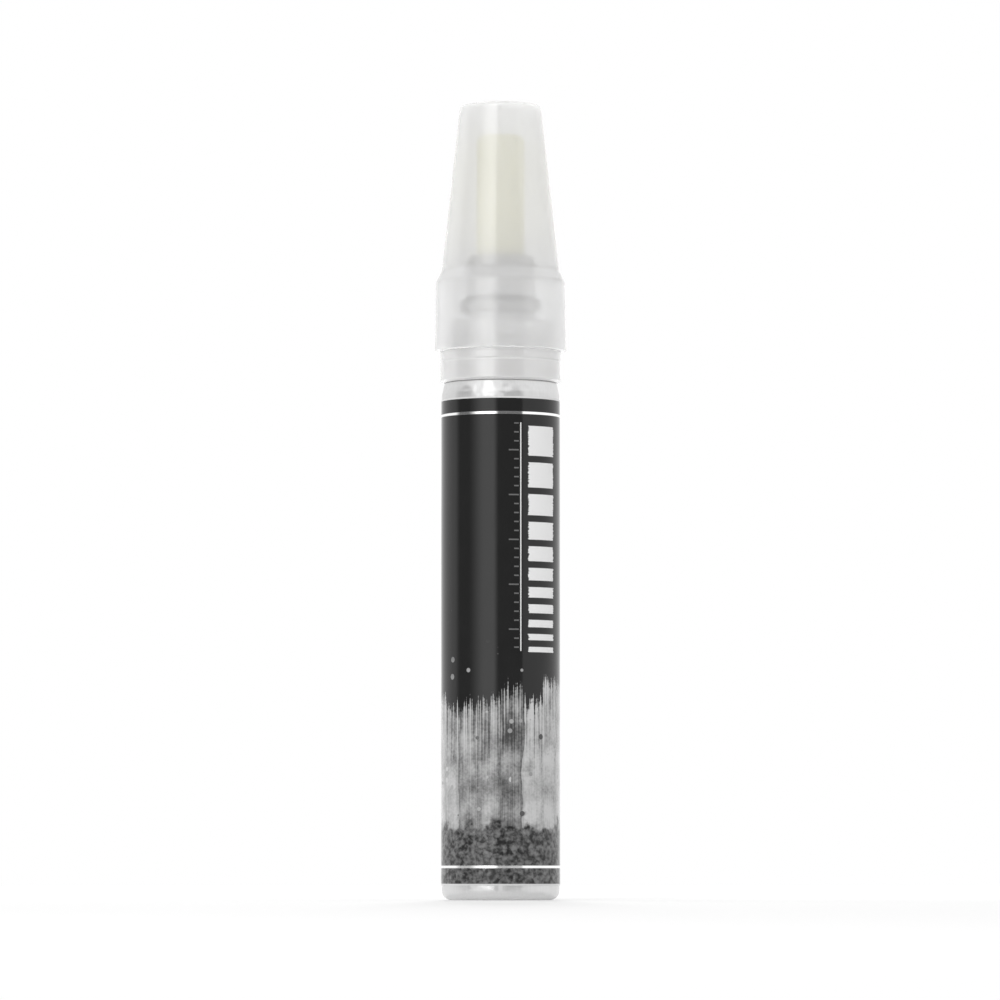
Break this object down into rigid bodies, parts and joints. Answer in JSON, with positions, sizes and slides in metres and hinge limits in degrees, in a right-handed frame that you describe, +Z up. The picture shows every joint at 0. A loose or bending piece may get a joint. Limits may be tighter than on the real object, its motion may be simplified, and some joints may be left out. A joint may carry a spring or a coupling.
{
  "type": "paint marker",
  "caption": "Upright paint marker with a translucent pull-off cap, a round block nib, a labelled barrel and a spring valve that opens when the nib is pressed.",
  "frame": {"origin": "centre of the base, on the plane of the standing ring", "axes": "+Z up along the marker's axis from the base to the cap; +Y to the back; -Y is the front"},
  "size_m": [0.0222, 0.0222, 0.1345],
  "materials": {
    "barrel_metal": "drawn aluminium, satin",
    "label_film": "printed glossy film",
    "section_plastic": "translucent natural polypropylene, satin",
    "nib_felt": "bonded polyester felt",
    "valve_plastic": "moulded acetal",
    "washer_rubber": "soft nitrile rubber",
    "spring_steel": "drawn stainless wire",
    "ball_steel": "polished stainless",
    "cap_plastic": "frosted translucent polypropylene"
  },
  "bodies": {
    "barrel_body": {"barrel": "barrel_metal", "label": "label_film", "front_section": "section_plastic", "valve_seat": "valve_plastic", "valve_cage": "valve_plastic", "valve_spring": "spring_steel"},
    "nib_unit": {"nib": "nib_felt", "valve_stem": "valve_plastic", "valve_washer": "washer_rubber"},
    "cap_body": {"cap": "cap_plastic"},
    "ball_left": {"mixing_ball_left": "ball_steel"},
    "ball_right": {"mixing_ball_right": "ball_steel"}
  },
  "joints": [
    {"name": "cap_pull", "type": "slide", "parent": "barrel_body", "child": "cap_body", "axis": [0, 0, 1], "range_m": [0, 0.045]},
    {"name": "nib_press", "type": "slide", "parent": "barrel_body", "child": "nib_unit", "axis": [0, 0, -1], "range_m": [0, 0.0022], "stiffness_N_per_m": 300, "springref_m": -0.003, "deforming": ["valve_spring"]},
    {"name": "ball_left_roll", "type": "slide", "parent": "barrel_body", "child": "ball_left", "axis": [0, 0, 1], "range_m": [0, 0.0648]},
    {"name": "ball_right_roll", "type": "slide", "parent": "barrel_body", "child": "ball_right", "axis": [0, 0, 1], "range_m": [0, 0.0648]}
  ]
}
